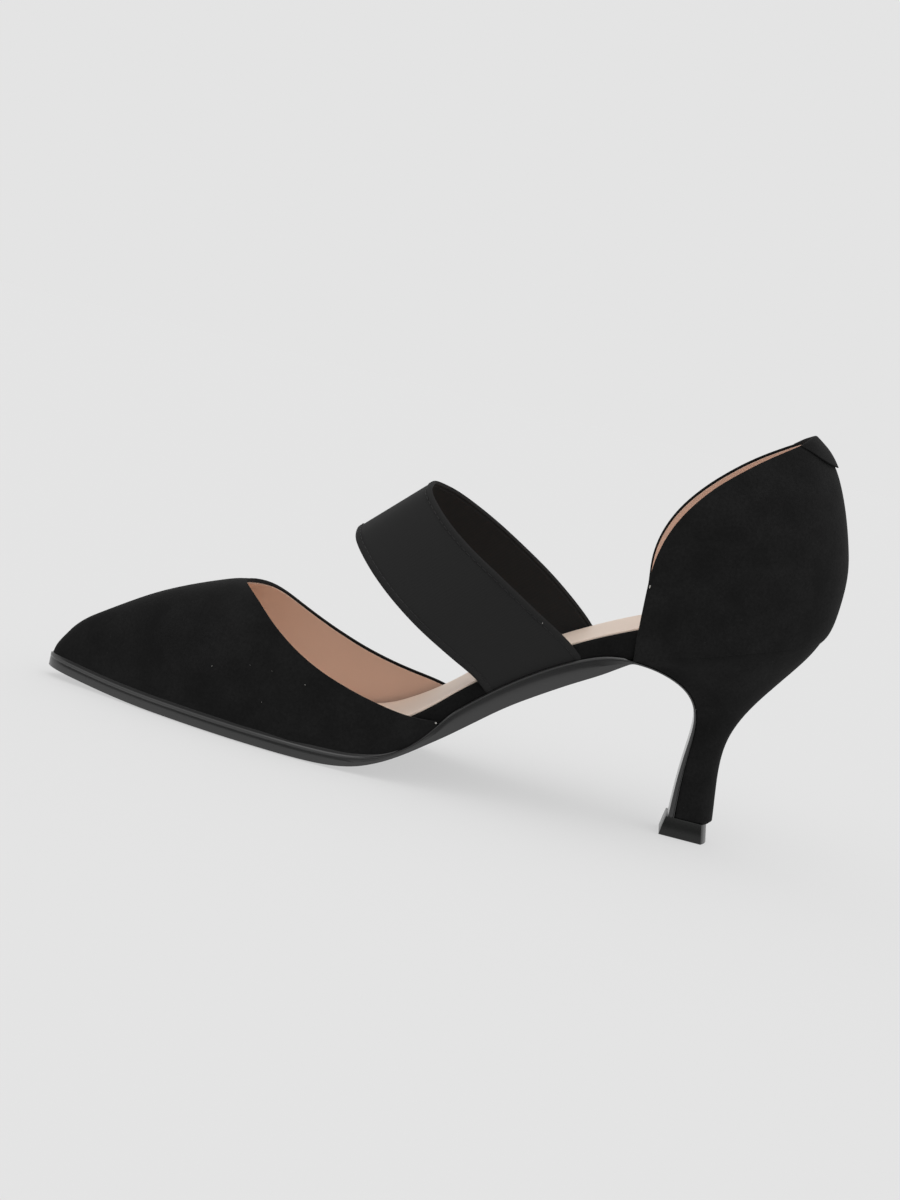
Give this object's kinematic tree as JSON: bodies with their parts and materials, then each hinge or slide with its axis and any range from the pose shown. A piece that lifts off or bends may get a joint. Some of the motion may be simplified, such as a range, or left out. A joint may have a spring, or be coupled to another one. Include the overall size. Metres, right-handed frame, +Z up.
{
  "type": "pump",
  "caption": "Pointed pump with a separate peaked heel counter, wide elastic instep band and slim covered flared heel.",
  "frame": {"origin": "centre of the bounding box in plan, at the floor", "axes": "+X towards the toe, +Y towards the medial side of this right shoe, +Z up"},
  "size_m": [0.2392, 0.0754, 0.1312],
  "materials": {
    "outsole": "smooth moulded black, satin",
    "insole": "smooth beige sock lining, edge wrapped in black suede",
    "heel_cover": "black suede cover over a hard heel",
    "top_piece": "dark grey, smooth",
    "counter": "black suede with a beige lining",
    "vamp": "black suede with a beige lining",
    "band": "black woven elastic"
  },
  "bodies": {
    "root": {"outsole": "outsole", "insole": "insole", "heel": "heel_cover", "top_piece": "top_piece", "counter": "counter", "vamp": "vamp", "instep_band": "band"}
  },
  "joints": []
}
